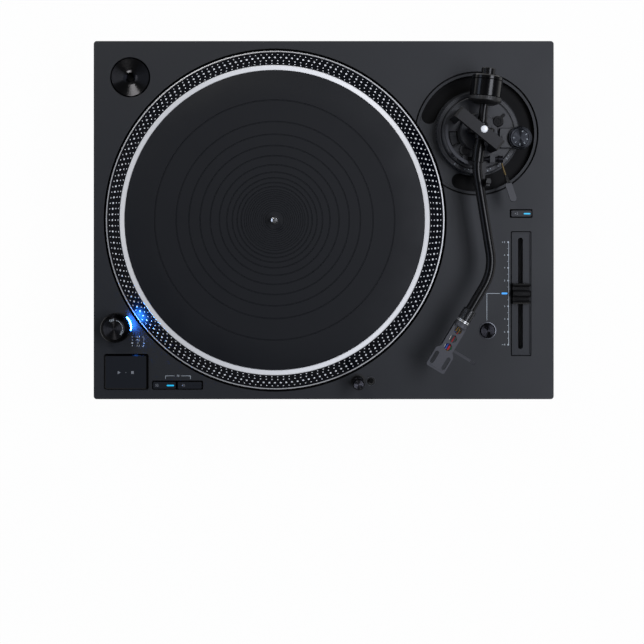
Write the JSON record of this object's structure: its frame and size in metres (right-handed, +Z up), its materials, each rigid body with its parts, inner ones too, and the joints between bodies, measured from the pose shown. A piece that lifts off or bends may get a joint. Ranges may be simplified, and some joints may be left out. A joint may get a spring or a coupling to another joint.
{
  "type": "direct drive turntable",
  "caption": "Flat rectangular turntable on round levelling feet, with a dotted strobe platter, ribbed mat, S-shaped tonearm in a bridge, pitch fader and round power knob.",
  "frame": {"origin": "on the resting surface, under the middle of the plinth", "axes": "+X along the front edge towards the tonearm side, +Y from the front edge to the sockets at the back, +Z up"},
  "size_m": [0.453, 0.353, 0.1477],
  "materials": {
    "deck_paint": "matt charcoal paint with a fine grain",
    "base_plastic": "matt charcoal moulding",
    "foot_rubber": "fluted black rubber",
    "steel": "bright zinc plated",
    "brass": "turned brass",
    "board": "green circuit board",
    "copper": "enamelled copper wire",
    "black_plastic": "moulded black",
    "gold": "gilt",
    "platter_cast": "diamond-turned edges, dark coated bevel",
    "mat_rubber": "dull black, ribbed",
    "spindle_steel": "polished",
    "magnet": "ferrite",
    "adapter": "dark anodised",
    "gloss_black": "dark gloss",
    "clear": "clear lens",
    "light_blue": "lit lens",
    "dark_metal": "satin charcoal",
    "arm_finish": "satin dark grey",
    "shell_metal": "bead-blasted dark grey",
    "wires": "coloured insulation"
  },
  "bodies": {
    "chassis": {"top_panel": "deck_paint", "base_shell": "base_plastic", "case_screws": "steel", "bearing_housing": "brass", "stator_board": "board", "stator_coils": "copper", "control_board": "board", "power_supply": "board", "ac_inlet": "black_plastic", "terminal_plate": "black_plastic", "phono_jacks": "gold", "strobe_housing": "gloss_black", "strobe_window": "clear", "pitch_zero_light": "light_blue", "pitch_frame": "black_plastic", "pitch_fader": "steel", "lamp_sleeve": "dark_metal", "arm_mount": "dark_metal"},
    "foot_front_left": {"foot_front_left": "foot_rubber"},
    "foot_front_right": {"foot_front_right": "foot_rubber"},
    "foot_rear_left": {"foot_rear_left": "foot_rubber"},
    "foot_rear_right": {"foot_rear_right": "foot_rubber"},
    "adapter": {"adapter_45": "adapter"},
    "platter": {"platter": "platter_cast", "spindle": "spindle_steel", "rotor_magnet": "magnet"},
    "mat": {"rubber_mat": "mat_rubber"},
    "power_knob": {"power_knob": "gloss_black"},
    "start_stop_button": {"start_stop_button": "gloss_black"},
    "speed_button_33": {"speed_button_33": "gloss_black", "light_33": "light_blue"},
    "speed_button_45": {"speed_button_45": "gloss_black"},
    "x2_button": {"x2_button": "gloss_black", "light_x2": "light_blue"},
    "reset_button": {"reset_button": "gloss_black"},
    "lamp_release_button": {"lamp_release_button": "gloss_black"},
    "stylus_lamp": {"stylus_lamp": "dark_metal"},
    "pitch_knob": {"pitch_knob": "gloss_black"},
    "ground_terminal": {"ground_terminal": "gold"},
    "height_ring": {"height_ring": "dark_metal"},
    "arm_base": {"arm_base_plate": "dark_metal", "gimbal_bridge": "shell_metal", "bridge_pivot_cap": "steel", "arm_rest": "black_plastic", "anti_skate_housing": "dark_metal"},
    "arm_clip": {"arm_clip": "black_plastic"},
    "anti_skate_dial": {"anti_skate_dial": "black_plastic"},
    "height_lock_knob": {"height_lock_knob": "dark_metal"},
    "cue_lever": {"cue_lever": "steel", "cue_paddle": "black_plastic"},
    "arm_lifter": {"arm_lifter": "black_plastic"},
    "gimbal": {"gimbal_ring": "arm_finish"},
    "tonearm": {"arm_tube": "arm_finish"},
    "counterweight": {"counterweight": "arm_finish"},
    "weight_scale_ring": {"weight_scale_ring": "black_plastic"},
    "locking_collar": {"locking_collar": "arm_finish"},
    "headshell": {"headshell": "shell_metal", "finger_lift": "shell_metal", "cartridge_leads": "wires", "lead_clips": "gold"}
  },
  "joints": [
    {"name": "foot_front_left_turn", "type": "hinge", "parent": "chassis", "child": "foot_front_left", "pos_m": [-0.1945, -0.1445, 0.015], "axis": [0, 0, 1], "range_deg": [-540, 540]},
    {"name": "foot_front_right_turn", "type": "hinge", "parent": "chassis", "child": "foot_front_right", "pos_m": [0.1945, -0.1445, 0.015], "axis": [0, 0, 1], "range_deg": [-540, 540]},
    {"name": "foot_rear_left_turn", "type": "hinge", "parent": "chassis", "child": "foot_rear_left", "pos_m": [-0.1945, 0.1445, 0.015], "axis": [0, 0, 1], "range_deg": [-540, 540]},
    {"name": "foot_rear_right_turn", "type": "hinge", "parent": "chassis", "child": "foot_rear_right", "pos_m": [0.1945, 0.1445, 0.015], "axis": [0, 0, 1], "range_deg": [-540, 540]},
    {"name": "platter_spin", "type": "hinge", "parent": "chassis", "child": "platter", "pos_m": [-0.0476, 0, 0.09], "axis": [0, 0, 1], "continuous": true},
    {"name": "mat_lift", "type": "slide", "parent": "platter", "child": "mat", "axis": [0, 0, 1], "range_m": [0, 0.03]},
    {"name": "adapter_lift", "type": "slide", "parent": "chassis", "child": "adapter", "axis": [0, 0, 1], "range_m": [0, 0.03]},
    {"name": "power_knob_turn", "type": "hinge", "parent": "chassis", "child": "power_knob", "pos_m": [-0.2025, -0.105, 0.104], "axis": [0, 0, 1], "range_deg": [-45, 0]},
    {"name": "start_stop_press", "type": "slide", "parent": "chassis", "child": "start_stop_button", "axis": [0, 0, 1], "range_m": [-0.0015, 0], "stiffness_N_per_m": 400, "springref_m": 0.0015},
    {"name": "speed_33_press", "type": "slide", "parent": "chassis", "child": "speed_button_33", "axis": [0, 0, 1], "range_m": [-0.001, 0], "stiffness_N_per_m": 200, "springref_m": 0.0015},
    {"name": "speed_45_press", "type": "slide", "parent": "chassis", "child": "speed_button_45", "axis": [0, 0, 1], "range_m": [-0.001, 0], "stiffness_N_per_m": 200, "springref_m": 0.0015},
    {"name": "x2_press", "type": "slide", "parent": "chassis", "child": "x2_button", "axis": [0, 0, 1], "range_m": [-0.001, 0], "stiffness_N_per_m": 200, "springref_m": 0.0015},
    {"name": "reset_press", "type": "slide", "parent": "chassis", "child": "reset_button", "axis": [0, 0, 1], "range_m": [-0.0015, 0], "stiffness_N_per_m": 200, "springref_m": 0.0015},
    {"name": "lamp_release_press", "type": "slide", "parent": "chassis", "child": "lamp_release_button", "axis": [0, 0, 1], "range_m": [-0.002, 0], "stiffness_N_per_m": 150, "springref_m": 0.0015},
    {"name": "stylus_lamp_rise", "type": "slide", "parent": "chassis", "child": "stylus_lamp", "axis": [0, 0, 1], "range_m": [-0.027, 0], "stiffness_N_per_m": 25, "springref_m": 0.012},
    {"name": "pitch_slide", "type": "slide", "parent": "chassis", "child": "pitch_knob", "axis": [0, 1, 0], "range_m": [-0.0503, 0.0503]},
    {"name": "ground_terminal_turn", "type": "hinge", "parent": "chassis", "child": "ground_terminal", "pos_m": [0.154, 0.1608, 0.06], "axis": [0, 1, 0], "range_deg": [0, 720]},
    {"name": "arm_height", "type": "slide", "parent": "chassis", "child": "arm_base", "axis": [0, 0, 1], "range_m": [0, 0.006]},
    {"name": "height_ring_turn", "type": "hinge", "parent": "chassis", "child": "height_ring", "pos_m": [0.15, 0.085, 0.095], "axis": [0, 0, 1], "range_deg": [0, 271]},
    {"name": "clip_swing", "type": "hinge", "parent": "arm_base", "child": "arm_clip", "pos_m": [0.15597, 0.03641, 0.1292], "axis": [0.1219, 0.9925, 0], "range_deg": [-88, 15]},
    {"name": "anti_skate_turn", "type": "hinge", "parent": "arm_base", "child": "anti_skate_dial", "pos_m": [0.1898, 0.0795, 0.107], "axis": [0, 0, 1], "range_deg": [0, 300]},
    {"name": "height_lock_turn", "type": "hinge", "parent": "arm_base", "child": "height_lock_knob", "pos_m": [0.1691, 0.0956, 0.104], "axis": [0, 0, 1], "range_deg": [0, 60]},
    {"name": "cue_lever_tilt", "type": "hinge", "parent": "arm_base", "child": "cue_lever", "pos_m": [0.15, 0.059, 0.107], "axis": [1, 0, 0], "range_deg": [0, 22]},
    {"name": "arm_lifter_slide", "type": "slide", "parent": "arm_base", "child": "arm_lifter", "axis": [0, 0, 1], "range_m": [-0.0034, 0]},
    {"name": "arm_swing", "type": "hinge", "parent": "arm_base", "child": "gimbal", "pos_m": [0.15, 0.085, 0.123], "axis": [0, 0, 1], "range_deg": [-46, 0]},
    {"name": "arm_tilt", "type": "hinge", "parent": "gimbal", "child": "tonearm", "pos_m": [0.15, 0.085, 0.123], "axis": [-0.9925, 0.1219, 0], "range_deg": [0, 9]},
    {"name": "weight_slide", "type": "slide", "parent": "tonearm", "child": "counterweight", "axis": [0.1219, 0.9925, 0], "range_m": [-0.008, 0]},
    {"name": "weight_ring_turn", "type": "hinge", "parent": "counterweight", "child": "weight_scale_ring", "pos_m": [0.15353, 0.11378, 0.123], "axis": [0.1219, 0.9925, 0], "range_deg": [-1152.5, 0]},
    {"name": "locking_collar_turn", "type": "hinge", "parent": "tonearm", "child": "locking_collar", "pos_m": [0.1317, -0.0989, 0.123], "axis": [-0.515, -0.8572, 0], "range_deg": [0, 45]},
    {"name": "headshell_draw", "type": "slide", "parent": "tonearm", "child": "headshell", "axis": [-0.515, -0.8572, 0], "range_m": [0, 0.02]}
  ],
  "couplings": [
    {"joint": "height_ring_turn", "follows": "arm_height", "rad_per_m": 785.4},
    {"joint": "arm_lifter_slide", "follows": "cue_lever_tilt", "m_per_rad": -0.0087},
    {"joint": "weight_ring_turn", "follows": "weight_slide", "rad_per_m": 2513.3}
  ]
}
